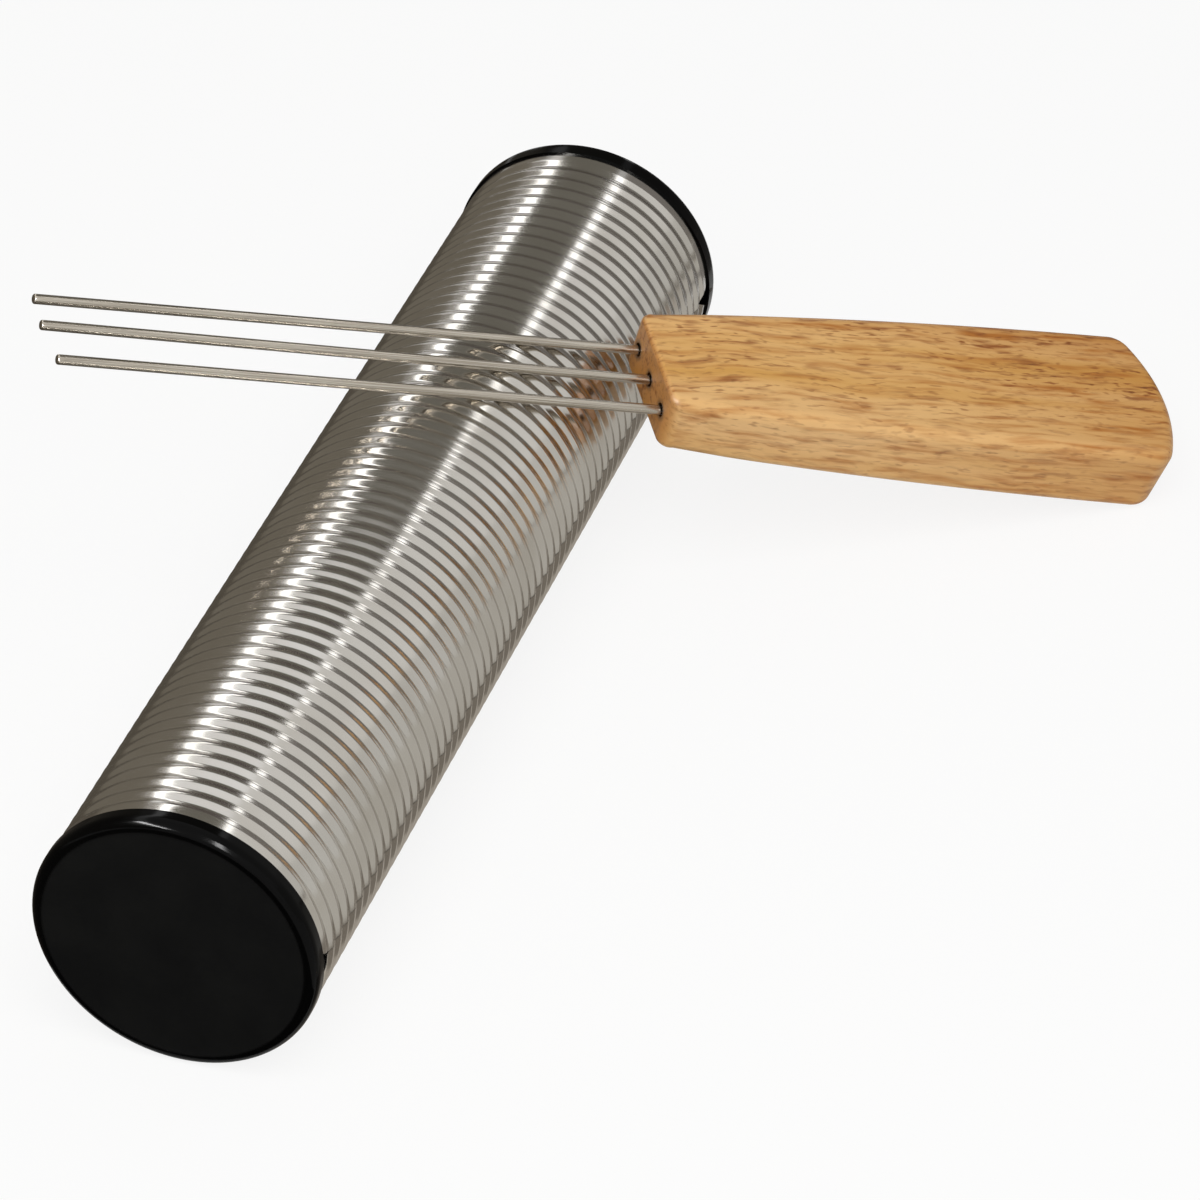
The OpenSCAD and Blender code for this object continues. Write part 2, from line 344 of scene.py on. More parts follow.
@dataclass(frozen=True)
class LacqueredWoodFinish:
    """Rubberwood, planed, stained and lacquered."""

    # Painted highlight: the paler band along one long edge
    painted_sheen: str = "e5bb84"
    pale: str = "e0b06d"
    gold: str = "d09a49"
    orange: str = "b06c20"
    fleck: str = "8e4e12"
    speck: str = "74420f"
    # Painted shade round the mouths of the holes
    hole_shade: str = "4a2c0c"
    tine_pitch: float = TINE_PITCH
    sway_size: float = 40.0
    sway: float = 6.0
    band_sizes: tuple[float, ...] = (120.0, 9.0, 9.0)
    streak_sizes: tuple[float, ...] = (18.0, 1.6, 1.6)
    long_fleck_sizes: tuple[float, ...] = (9.0, 1.4, 1.4)
    short_fleck_sizes: tuple[float, ...] = (3.4, 0.8, 0.8)
    group_sizes: tuple[float, ...] = (26.0, 6.0, 6.0)
    # Where the painted highlight lies across the handle, and where it fades along it
    painted_sheen_span: Span = (-15.0, -5.0)
    painted_sheen_fade: Span = (45.0, 115.0)
    # Painted shade: darker wood towards the rear and along the other long edge
    rear_stain: Span = (60.0, 128.0)
    far_stain: Span = (10.0, 18.0)
    fleck_rise: Span = (-15.0, 0.0)
    hole_shade_r: Span = (1.6, 2.8)
    hole_shade_depth: Span = (3.0, 8.0)
    fleck_depth: float = 0.2
    fleck_strength: float = 0.08
    roughness: Span = (0.48, 0.38)
    coat: float = 0.2
    coat_roughness: float = 0.2

    def build(self, place: Matrix) -> Material:
        """Builds the finish.

        Args:
            place: the handle's frame, with the grain along X.

        Returns:
            The material.
        """
        # To the eye: golden bands, many short orange-brown flecks, darker end grain and a soft gloss, with a
        # painted highlight along one long edge and painted shade at the rear, along the other long edge and
        # round the holes
        material, add = new_material("lacquered_rubberwood")
        straight = millimetres(add, place)
        along, across, _ = add("SeparateXYZ", {0: straight}).outputs
        grain = self.grain(add, straight)
        toned = self.stain_and_paint_light(add, grain, along, across, place.to_3x3() @ Vector((1, 0, 0)))
        stained = self.flecks(add, grain, across, toned)
        colour = self.paint_hole_shade(add, straight, stained)
        dull, glossy = self.roughness
        gloss = add("MapRange", {"Value": grain["streaks"], **NOISE_SPAN, "To Min": dull, "To Max": glossy})
        relief = add("Math", {0: grain["long_flecks"], 1: grain["short_flecks"]}, operation="ADD")
        bump = add("Bump", {
            "Height": relief, "Strength": self.fleck_strength,
            "Distance": self.fleck_depth * MM}, invert=True)
        shader = add("BsdfPrincipled", {
            "Base Color": colour, "Roughness": gloss, "IOR": 1.5,
            "Coat Weight": self.coat, "Coat Roughness": self.coat_roughness, "Normal": bump})
        add("OutputMaterial", {"Surface": shader})
        return material

    def grain(self, add: Adder, straight: NodeSocket) -> dict[str, Node]:
        """Makes the patterns that run along the grain, which sways a little.

        Args:
            add: adds a node to the material.
            straight: the shaded point in the handle's frame.

        Returns:
            The node of each pattern by its name.
        """
        drift = add("TexNoise", {"Vector": straight, "Scale": 1 / self.sway_size, "Detail": 2.0})
        centred = add("VectorMath", {0: drift.outputs["Color"], 1: (0.5, 0.5, 0.5)}, operation="SUBTRACT")
        shift = add("VectorMath", {0: centred, 1: (0.0, self.sway, self.sway)}, operation="MULTIPLY")
        point = add("VectorMath", {0: straight, 1: shift}, operation="ADD")
        patterns = {}
        # Flecks are drawn coarser than single vessels, which are too fine to show
        for name, sizes, detail in (
            ("bands", self.band_sizes, 3.0),
            ("streaks", self.streak_sizes, 3.0),
            ("long_flecks", self.long_fleck_sizes, 2.0),
            ("short_flecks", self.short_fleck_sizes, 1.0),
            ("groups", self.group_sizes, 2.0),
        ):
            drawn_out = add("Mapping", {"Vector": point, "Scale": repeats(*sizes)})
            patterns[name] = add("TexNoise", {"Vector": drawn_out, "Scale": 1.0, "Detail": detail})
        return patterns

    def stain_and_paint_light(
        self, add: Adder, grain: dict[str, Node], along: NodeSocket, across: NodeSocket, axis: Vector
    ) -> NodeSocket:
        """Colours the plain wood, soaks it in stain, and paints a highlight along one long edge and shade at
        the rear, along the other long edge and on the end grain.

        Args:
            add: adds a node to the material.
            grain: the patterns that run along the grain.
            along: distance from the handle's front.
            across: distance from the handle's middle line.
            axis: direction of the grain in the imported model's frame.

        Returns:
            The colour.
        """
        bands = ((0.36, self.gold), (0.6, self.pale))
        body = add("ValToRGB", {"Fac": grain["bands"]}, stops=bands)
        normal = add("TexCoord").outputs["Normal"]
        facing = add("VectorMath", {0: normal, 1: axis}, operation="DOT_PRODUCT")
        ends = add("Math", {0: facing.outputs["Value"]}, operation="ABSOLUTE")
        # A paler band along one long edge, fading towards the rear, is a painted highlight: the lacquer's
        # sheen. More stain is in the soft streaks and the end grain. The darkening at the rear and along the
        # other long edge is painted shade, and the end grain's darkening is partly painted shade too.
        parts = {}
        for name, value, (first, last), low, high in (
            ("sheen_share", across, self.painted_sheen_span, 0.45, 0.0),
            ("fade", along, self.painted_sheen_fade, 1.0, 0.1),
            ("soft", grain["streaks"], (0.48, 0.72), 0.0, 0.75),
            ("rear", along, self.rear_stain, 0.0, 0.35),
            ("far", across, self.far_stain, 0.0, 0.4),
            ("soaked_and_shaded", ends, (0.35, 0.95), 0.0, 0.7),
        ):
            parts[name] = add("MapRange", {
                "Value": value, "From Min": first, "From Max": last, "To Min": low, "To Max": high})
        # Painted highlight along one long edge
        sheen_share = add("Math", {0: parts["sheen_share"], 1: parts["fade"]}, operation="MULTIPLY")
        with_sheen = add("Mix", {0: sheen_share, 6: body, 7: linear(self.painted_sheen)}, data_type="RGBA")
        # Painted shade at the rear and along the other long edge; with the end grain's stain, partly painted
        # shade there too
        outer = add("Math", {0: parts["rear"], 1: parts["far"]}, operation="ADD")
        stain_and_shade = add("Math", {0: parts["soft"], 1: outer}, operation="ADD")
        share = add("Math", {0: stain_and_shade, 1: parts["soaked_and_shaded"]}, operation="MAXIMUM", use_clamp=True)
        return add("Mix", {
            0: share, 6: with_sheen.outputs[2], 7: linear(self.orange)}, data_type="RGBA").outputs[2]

    def flecks(
        self, add: Adder, grain: dict[str, Node], across: NodeSocket, colour: NodeSocket
    ) -> NodeSocket:
        """Adds flecks of two sizes: the vessels that the plane cut open, filled with stain.

        Args:
            add: adds a node to the material.
            grain: the patterns that run along the grain.
            across: distance from the handle's middle line.
            colour: the wood's colour without them.

        Returns:
            The colour.
        """
        parts = {}
        for name, value, (first, last), low in (
            ("long", grain["long_flecks"], (0.53, 0.7), 0.0),
            ("short", grain["short_flecks"], (0.58, 0.72), 0.0),
            ("groups", grain["groups"], (0.36, 0.6), 0.4),
            ("rise", across, self.fleck_rise, 0.5),
        ):
            parts[name] = add("MapRange", {
                "Value": value, "From Min": first, "From Max": last, "To Min": low})
        either = add("Math", {0: parts["long"], 1: parts["short"]}, operation="MAXIMUM")
        both = add("Math", {0: parts["long"], 1: parts["short"]}, operation="MULTIPLY")
        spread = add("Math", {0: parts["rise"], 1: parts["groups"]}, operation="MULTIPLY")
        # The fullest flecks, where both sizes meet, are nearly black
        for dark, tint in ((either, self.fleck), (both, self.speck)):
            share = add("Math", {0: dark, 1: spread}, operation="MULTIPLY")
            mixed = add("Mix", {0: share, 6: colour, 7: linear(tint)}, data_type="RGBA")
            colour = mixed.outputs[2]
        return colour

    def paint_hole_shade(self, add: Adder, straight: NodeSocket, colour: NodeSocket) -> NodeSocket:
        """Paints shade round the mouth of each hole: a darker ring on the front end that stands in for the
        shade in the hole.

        Args:
            add: adds a node to the material.
            straight: the shaded point in the handle's frame.
            colour: the wood's colour without it.

        Returns:
            The colour.
        """
        along, across, up = add("SeparateXYZ", {0: straight}).outputs
        half = self.tine_pitch / 2
        row = add("Math", {0: across, 1: half, 2: -half}, operation="WRAP")
        away = add("CombineXYZ", {1: row, 2: up})
        reach = add("VectorMath", {0: away}, operation="LENGTH")
        near_hole, at_front = (
            add("MapRange", {
                "Value": value, "From Min": first, "From Max": last, "To Min": full, "To Max": 0.0})
            for value, (first, last), full in (
                (reach.outputs["Value"], self.hole_shade_r, 0.8), (along, self.hole_shade_depth, 1.0)))
        # Painted shade: darker wood round each hole's mouth, near the front
        hole_shaded = add("Math", {0: near_hole, 1: at_front}, operation="MULTIPLY")
        return add("Mix", {0: hole_shaded, 6: colour, 7: linear(self.hole_shade)}, data_type="RGBA").outputs[2]


@dataclass(frozen=True)
class DrawnWireFinish:
    """Stainless spring wire, drawn through a die."""

    tint: str = "cbc4b8"
    line_tint: str = "9f968a"
    roughness: Span = (0.16, 0.3)
    line_length: float = 20.0
    line_width: float = 0.2

    def build(self, place: Matrix) -> Material:
        """Builds the finish.

        Args:
            place: a frame with the wires along X.

        Returns:
            The material.
        """
        # To the eye: a warm satin metal, with fine darker lines along its length
        material, add = new_material("drawn_spring_steel")
        point = millimetres(add, place)
        # Die lines are drawn coarser than real ones, so that they show
        spacing = repeats(self.line_length, self.line_width, self.line_width)
        drawn_out = add("Mapping", {"Vector": point, "Scale": spacing})
        lines = add("TexNoise", {"Vector": drawn_out, "Scale": 1.0, "Detail": 3.0})
        smooth, scored = self.roughness
        rough = add("MapRange", {"Value": lines, **NOISE_SPAN, "To Min": smooth, "To Max": scored})
        colour = add("ValToRGB", {"Fac": lines}, stops=((0.3, self.line_tint), (0.6, self.tint)))
        shader = add("BsdfPrincipled", {"Base Color": colour, "Metallic": 1.0, "Roughness": rough})
        add("OutputMaterial", {"Surface": shader})
        return material


@dataclass(frozen=True)
class TumbledShotFinish:
    """Carbon steel shot, tumbled."""

    tint: str = "8e8d8a"
    dent_tint: str = "777673"
    roughness: Span = (0.28, 0.48)
    dent_size: float = 0.8
    dent_depth: float = 0.05
    dent_strength: float = 0.2

    def build(self) -> Material:
        """Builds the finish.

        Returns:
            The material.
        """
        # To the eye: dull grey balls with small dents that catch the light
        material, add = new_material("tumbled_steel_shot")
        point = millimetres(add, Matrix.Identity(4))
        dents = add("TexNoise", {"Vector": point, "Scale": 1 / self.dent_size, "Detail": 3.0})
        smooth, dented = self.roughness
        rough = add("MapRange", {"Value": dents, **NOISE_SPAN, "To Min": smooth, "To Max": dented})
        bump = add("Bump", {
            "Height": dents, "Strength": self.dent_strength, "Distance": self.dent_depth * MM})
        colour = add("ValToRGB", {"Fac": dents}, stops=((0.3, self.dent_tint), (0.7, self.tint)))
        shader = add("BsdfPrincipled", {
            "Base Color": colour, "Metallic": 1.0, "Roughness": rough, "Normal": bump})
        add("OutputMaterial", {"Surface": shader})
        return material


@dataclass
class RibbedTube:
    """The rolled sheet: ribs with straight flanks, and a butt seam with clipped corners on one side."""

    radius: float = 30.0
    half_sheet: float = HALF_SHEET
    sheet_t: float = 0.6
    groove_count: int = 60
    groove_depth: float = 0.5
    tip_r: float = 1.4
    end_land: float = 4.6
    seam_angle: float = 92.0
    seam_gap: float = 0.15
    clip_length: float = 5.0
    clip_width: float = 3.3
    land_steps: int = 4
    flank_steps: tuple[float, ...] = (0.12, 0.88)
    round_steps: int = 96

    @property
    def pitch(self) -> float:
        """Returns the distance from groove to groove."""
        return (2 * self.half_sheet - 2 * self.end_land) / (self.groove_count - 1)

    @property
    def flank(self) -> float:
        """Returns the slope, in radians, of flanks that reach the groove's depth between rounded tips."""
        spare = 4 * self.tip_r - self.groove_depth
        root = math.sqrt(self.pitch ** 2 - 4 * self.groove_depth * spare)
        return 2 * math.atan((self.pitch - root) / (2 * spare))

    def rib(self) -> list[tuple[float, float]]:
        """Traces one flank, from the groove up to the crest beside it.

        Returns:
            Distance from the groove's middle and outer radius of each point.
        """
        half, rise = self.pitch / 2, self.groove_depth / 2
        middle = self.radius - rise
        turns = (0.0, 0.5 * self.flank, self.flank)
        bend = [(self.tip_r * math.sin(a), self.tip_r * (1 - math.cos(a))) for a in turns]
        low = [(u, middle - rise + h) for u, h in bend]
        high = [(half - u, middle + rise - h) for u, h in bend[::-1]]
        start, stop = np.array(low[-1]), np.array(high[0])
        return low + [tuple(start + (stop - start) * t) for t in self.flank_steps] + high

    def outline(self) -> tuple[np.ndarray, list[int]]:
        """Traces the sheet's outer side from end to end.

        Returns:
            Place along the tube and radius of each ring, and the numbers of the rings at tips and ends.
        """
        rib = self.rib()
        rings: list[tuple[float, float]] = []
        marks: list[int] = []
        first = self.end_land - self.half_sheet
        land = first - self.pitch / 2
        for y in np.linspace(-self.half_sheet, land, self.land_steps, endpoint=False):
            marks.append(len(rings))
            rings.append((y, self.radius))
        for k in range(self.groove_count):
            centre = first + k * self.pitch
            marks += [len(rings), len(rings) + len(rib) - 1]
            rings += [(centre - u, r) for u, r in rib[:0:-1]] + [(centre + u, r) for u, r in rib[:-1]]
        for y in np.linspace(-land, self.half_sheet, self.land_steps + 1):
            marks.append(len(rings))
            rings.append((y, self.radius))
        return np.array(rings), marks

    def skin(self, rings: np.ndarray) -> np.ndarray:
        """Places a surface of rings that runs from one edge of the seam round to the other.

        Args:
            rings: place along the tube and radius of each ring.

        Returns:
            The vertices, ring by ring.
        """
        along, radius = rings[:, :1], rings[:, 1:]
        clipped = np.clip(1 - (self.half_sheet - np.abs(along)) / self.clip_length, 0, 1) * self.clip_width
        edge = np.maximum(clipped, self.seam_gap / 2) / self.radius
        share = np.linspace(0, 1, self.round_steps + 1)[None]
        angle = math.radians(self.seam_angle) + edge + (2 * math.pi - 2 * edge) * share
        x, z = radius * np.sin(angle), AXIS_HEIGHT + radius * np.cos(angle)
        return np.stack([x, np.broadcast_to(along, angle.shape), z], -1).reshape(-1, 3)

    def build(self, material: Material) -> None:
        """Builds the closed sheet, inside and out.

        Args:
            material: the sheet's finish.
        """
        outer, marks = self.outline()
        inner = outer[marks] - (0, self.sheet_t)
        columns = self.round_steps + 1
        first = len(outer) * columns
        faces = [f[::-1] for f in band_faces(len(outer), columns, False)]
        faces += [tuple(first + k for k in f) for f in band_faces(len(inner), columns, False)]
        # The two edges at the seam
        for side in (0, columns - 1):
            for k, (start, stop) in enumerate(zip(marks, marks[1:])):
                strip = [r * columns + side for r in range(start, stop + 1)]
                strip += [first + (k + 1) * columns + side, first + k * columns + side]
                faces.append(tuple(strip if side == 0 else strip[::-1]))
        # The two ends of the tube
        last_out, last_in = (len(outer) - 1) * columns, first + (len(inner) - 1) * columns
        for c in range(columns - 1):
            faces.append((c, c + 1, first + c + 1, first + c))
            faces.append((last_in + c, last_in + c + 1, last_out + c + 1, last_out + c))
        tube = mesh_piece("ribbed_sheet", np.concatenate([self.skin(outer), self.skin(inner)]), faces)
        settle(tube, material, Body.TUBE, "ribbed_tube")


@dataclass
class EndCap:
    """A push-in cap: a flange with a rounded rim, a face dished a hair, and a sleeve inside the tube."""

    name: str
    node: str
    facing: int
    flange_t: float
    radius: float = 30.5
    half_sheet: float = HALF_SHEET
    rim_r: float = 2.4
    face_dish: float = 0.05
    dish_edge: float = 1.0
    dish_curve: tuple[tuple[float, float], ...] = ((0.6, 0.7), (0.25, 0.2))
    edge_ease: float = 0.12
    sleeve_r: float = 28.95
    sleeve_t: float = 2.2
    sleeve_length: float = 12.0
    sleeve_ease: float = 0.5
    hub_r: float = 0.4
    face_steps: int = 14
    flange_steps: int = 4
    rim_steps: int = 12
    round_steps: int = 128

    def section(self) -> list[tuple[float, float]]:
        """Traces the cap from the middle of its face out and round to its inside.

        Returns:
            Radius and height of each point.
        """
        rim = [math.radians(90 * k / self.rim_steps) for k in range(self.rim_steps + 1)]
        ledge = self.radius - self.rim_r
        face = np.linspace(self.hub_r, ledge - self.dish_edge, self.face_steps)
        points = [(r, self.face_dish) for r in face]
        for inwards, depth in self.dish_curve:
            points.append((ledge - self.dish_edge * inwards, self.face_dish * depth))
        points += [(ledge + self.rim_r * math.sin(a), self.rim_r - self.rim_r * math.cos(a)) for a in rim]
        side = np.linspace(self.rim_r, self.flange_t - self.edge_ease, self.flange_steps)
        points += [(self.radius, h) for h in side[1:]]
        points += [(self.radius - self.edge_ease, self.flange_t), (self.sleeve_r, self.flange_t)]
        top = self.flange_t + self.sleeve_length
        inside = self.sleeve_r - self.sleeve_t
        points += [(self.sleeve_r, top - self.sleeve_ease), (self.sleeve_r - self.sleeve_ease, top)]
        return points + [(inside, top), (inside, self.flange_t), (self.hub_r, self.flange_t)]

    def build(self, material: Material) -> None:
        """Builds the cap, with Z along its own axis from the face inwards.

        Args:
            material: the cap's finish.
        """
        face_y = self.facing * (self.half_sheet + self.flange_t)
        place = Matrix.Translation((0, face_y * MM, AXIS_HEIGHT * MM))
        place = place @ Matrix.Rotation(math.radians(90 * self.facing), 4, "X")
        cap = lathe(self.name, self.section(), self.round_steps, place)
        settle(cap, material, Body.TUBE, self.node)


@dataclass
class ScraperPose:
    """How the scraper leans: its tines lie in a plane that touches the tube, turned away from square."""

    plane_r: float = 31.3
    cross_y: float = 42.0
    lean: float = 22.256
    turn: float = 35.5
    cross_to_handle: float = 32.2

    def frame(self) -> Matrix:
        """Gives the handle's frame: its front is at X = 0, its length along +X and its top towards +Z.

        Returns:
            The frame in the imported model's frame.
        """
        place = Matrix.Translation((0, self.cross_y * MM, AXIS_HEIGHT * MM))
        place = place @ Matrix.Rotation(math.radians(self.lean), 4, "Y")
        place = place @ Matrix.Translation((0, 0, self.plane_r * MM))
        place = place @ Matrix.Rotation(math.radians(self.turn), 4, "Z")
        return place @ Matrix.Translation((self.cross_to_handle * MM, 0, 0))


@dataclass
class Tine:
    """One straight wire: bevelled at its tip, pressed into the handle at its other end."""

    name: str
    node: str
    row: int
    reach: float
    lean: float
    pitch: float = TINE_PITCH
    radius: float = 1.1
    bevel: float = 0.4
    bevel_turns: tuple[float, ...] = (0, 30, 60, 90)
    tip_ring: float = 0.5
    bore_depth: float = 30.0
    straight_from: float = 1.5
    straight_steps: int = 30
    round_steps: int = 40

    def frame(self, pose: ScraperPose) -> Matrix:
        """Gives the tine's frame: its root is at the origin and its tip towards -Z.

        Args:
            pose: how the scraper leans.

        Returns:
            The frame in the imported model's frame.
        """
        place = pose.frame() @ Matrix.Translation((0, self.row * self.pitch * MM, 0))
        place = place @ Matrix.Rotation(math.radians(self.lean), 4, "Z")
        return place @ Matrix.Rotation(math.radians(90), 4, "Y")

    def build(self, pose: ScraperPose, material: Material) -> None:
        """Builds the tine.

        Args:
            pose: how the scraper leans.
            material: the wire's finish.
        """
        tip = self.radius - self.bevel
        section = [(tip * self.tip_ring, -self.reach)]
        for a in np.radians(self.bevel_turns):
            section.append((tip + self.bevel * math.sin(a), self.bevel * (1 - math.cos(a)) - self.reach))
        straight = np.linspace(self.straight_from - self.reach, self.bore_depth, self.straight_steps)
        section += [(self.radius, h) for h in straight]
        tine = lathe(self.name, section, self.round_steps, self.frame(pose))
        settle(tine, material, Body.SCRAPER, self.node)


@dataclass
class ScraperHandle:
    """The wooden handle: wider and thicker towards a crowned rear end, with eased edges and a raked front."""

    length: float = 129.0
    front_w: float = 29.2
    rear_w: float = 39.6
    front_t: float = 15.0
    rear_t: float = 17.6
    edge_r: float = 3.0
    front_edge_r: float = 1.4
    front_corner_r: float = 3.4
    front_rake: float = 2.2
    rear_corner_r: float = 5.8
    rear_crown: float = 2.6
    side_from: float = 0.14
    side_to: float = 0.92
    rake_to: float = 0.2
    mouth_r: float = 1.5
    mouth_flare: float = 0.3
    mouth_taper: float = 0.4
    mouth_depth: float = 5.0
    flare_from: float = 0.4
    flare_to: float = 1.2
    cut_past: float = 4.0
    round_steps: int = 12
    side_steps: int = 40
    crown_steps: int = 14
    across_steps: int = 16
    mouth_steps: int = 40

    def bow(self, share: float) -> float:
        """Returns the share of the growth from front to rear that is reached at a share of the length."""
        return 1 - (1 - min(share, 1.0)) ** 2

    def half_thickness(self, x: float) -> float:
        """Returns half the thickness at a distance from the front."""
        return (self.front_t + (self.rear_t - self.front_t) * self.bow(x / self.length)) / 2

    def rounds(self) -> list[tuple[float, ...]]:
        """Lists one side seen from above, from the front to the middle of the rear end.

        Returns:
            Each round's centre (X, Y), radius, direction, eased edge's radius and set-back at the lower face.
        """
        corner_y = self.rear_w / 2 - self.rear_corner_r
        crown_r = (corner_y ** 2 + self.rear_crown ** 2) / (2 * self.rear_crown)
        reach = crown_r - self.rear_corner_r
        crown_angle = math.asin(corner_y / reach)
        corner_x = self.length - reach * (1 - math.cos(crown_angle)) - self.rear_corner_r
        front_r = self.front_corner_r
        made = []
        for k in range(self.round_steps + 1):
            turn = 90 * k / self.round_steps
            edge = self.front_edge_r + (self.edge_r - self.front_edge_r) * turn / 90
            centre_y = self.front_w / 2 - front_r
            made.append((front_r, centre_y, front_r, math.radians(180 - turn), edge, self.front_rake))
        for share in np.linspace(self.side_from, self.side_to, self.side_steps):
            x = share * self.length
            growth = (self.rear_w - self.front_w) / self.length * (1 - share)
            half_w = (self.front_w + (self.rear_w - self.front_w) * self.bow(share)) / 2
            rake = self.front_rake * max(1 - (x - front_r) / (self.rake_to * self.length - front_r), 0.0)
            outward = math.pi / 2 + math.atan(growth)
            made.append((x, half_w - self.edge_r, self.edge_r, outward, self.edge_r, rake))
        for k in range(self.round_steps + 1):
            turn = (math.pi / 2 - crown_angle) * k / self.round_steps
            made.append((corner_x, corner_y, self.rear_corner_r, math.pi / 2 - turn, self.edge_r, 0.0))
        for k in range(1, self.crown_steps + 1):
            turn = crown_angle * (1 - k / self.crown_steps)
            made.append((self.length - crown_r, 0.0, crown_r, turn, self.edge_r, 0.0))
        return made

    def skin_point(self, spot: tuple[float, ...], over: float, level: int) -> tuple[float, float, float]:
        """Gives a point of the skin.

        Args:
            spot: one entry of rounds().
            over: angle over the eased edge, from 0 at the side to a right angle at the face.
            level: 1 for the upper half, -1 for the lower.

        Returns:
            The point on the +Y side.
        """
        centre_x, centre_y, radius, direction, edge, rake = spot
        inset = edge * (1 - math.cos(over))
        x = centre_x + (radius - inset) * math.cos(direction)
        y = centre_y + (radius - inset) * math.sin(direction)
        z = level * (self.half_thickness(x) - edge * (1 - math.sin(over)))
        return x + rake * (0.5 - z / self.front_t), y, z

    def build_blank(self, place: Matrix) -> Object:
        """Builds the handle without its holes.

        Args:
            place: the handle's frame.

        Returns:
            The blank.
        """
        spots = self.rounds()
        overs = [math.pi / 2 * k / self.round_steps for k in range(self.round_steps + 1)]
        levels = [(o, -1) for o in overs[::-1]] + [(o, 1) for o in overs]
        half = [[self.skin_point(s, o, level) for s in spots] for o, level in levels]
        rings = np.array([h + [(x, -y, z) for x, y, z in h[-2::-1]] for h in half])
        count = rings.shape[1]
        points = [rings.reshape(-1, 3)]
        faces = band_faces(len(rings), count, True)
        total = rings.shape[0] * count
        tip = len(spots) - 1
        for ring, level in ((0, -1), (len(rings) - 1, 1)):
            # The upper and the lower face are lattices between the two long sides
            base = ring * count
            rows = []
            for k in range(tip):
                side, mate = rings[ring][k], rings[ring][count - 1 - k]
                inner = [side + (mate - side) * t for t in np.linspace(0, 1, self.across_steps + 1)[1:-1]]
                rows.append([base + k] + list(range(total, total + len(inner))) + [base + count - 1 - k])
                points.append(np.array(inner))
                total += len(inner)
            for one, two in zip(rows, rows[1:]):
                for c in range(self.across_steps):
                    quad = (one[c], two[c], two[c + 1], one[c + 1])
                    faces.append(quad if level < 0 else quad[::-1])
            fan = tuple(rows[-1] + [base + tip])
            faces.append(fan[::-1] if level < 0 else fan)
        return mesh_piece("wooden_handle", np.concatenate(points), faces, place)

    def drill(self, blank: Object, tines: Sequence[Tine], pose: ScraperPose) -> None:
        """Opens the mouth of each tine's hole.

        Args:
            blank: the handle.
            tines: the tines whose holes are drilled.
            pose: how the scraper leans.
        """
        flared = self.mouth_r + self.mouth_flare
        section = [(flared, -self.cut_past), (flared, self.flare_from), (self.mouth_r, self.flare_to)]
        section.append((self.mouth_r - self.mouth_taper, self.mouth_depth))
        for tine in tines:
            cutter = lathe("cutter", section, self.mouth_steps, tine.frame(pose))
            cut = blank.modifiers.new("mouth", "BOOLEAN")
            cut.object, cut.operation, cut.solver = cutter, "DIFFERENCE", "EXACT"
            bpy.context.view_layer.update()
            evaluated = blank.evaluated_get(bpy.context.evaluated_depsgraph_get())
            drilled = bpy.data.meshes.new_from_object(evaluated)
            blank.modifiers.clear()
            blank.data = drilled
            bpy.data.objects.remove(cutter)
        blank.data.name = blank.name
        soften(blank.data)

    def build(self, tines: Sequence[Tine], pose: ScraperPose, material: Material) -> None:
        """Builds the drilled handle.

        Args:
            tines: the tines that it holds.
            pose: how the scraper leans.
            material: the wood.
        """
        handle = self.build_blank(pose.frame())
        self.drill(handle, tines, pose)
        handle.modifiers.new("flat_faces", "WEIGHTED_NORMAL").keep_sharp = True
        settle(handle, material, Body.SCRAPER, "scraper_handle")


@dataclass
class ShotLanes:
    """The loose balls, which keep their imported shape."""

    count: int = 5

    def dress(self, material: Material) -> None:
        """Gives every lane its finish.

        Args:
            material: the balls' finish.
        """
        for k in range(1, self.count + 1):
            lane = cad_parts[f"shot_lane_{k}"]
            lane.data.materials.clear()
            lane.data.materials.append(material)
            LOG.info("%s: dressed", lane.name)


class Side(Enum):
    """The plane that a stage card hangs in, as the place of its first and second number among X, Y and Z."""

    CEILING = (0, 1, 2)
    BACK = (0, 2, 1)
    WALL = (1, 2, 0)


@dataclass(frozen=True)
class Card:
    """A flat stage card that only polished surfaces mirror, with its corners in millimetres."""

    name: str
    colour: str
    strength: float
    side: Side
    at: float
    corners: tuple[tuple[float, float], ...]

    def build(self) -> None:
        """Builds the card, hidden from all but mirrored sight."""
        material, add = new_material(self.name)
        glow = add("Emission", {"Color": linear(self.colour), "Strength": self.strength})
        add("OutputMaterial", {"Surface": glow})
        points = np.zeros((len(self.corners), 3))
        one, two, across = self.side.value
        points[:, one], points[:, two] = np.array(self.corners, float).T
        points[:, across] = self.at
        card = mesh_piece(self.name, points, [tuple(range(len(self.corners)))])
        card.data.materials.append(material)
        for sight in ("camera", "diffuse", "transmission", "volume_scatter", "shadow"):
            setattr(card, "visible_" + sight, False)


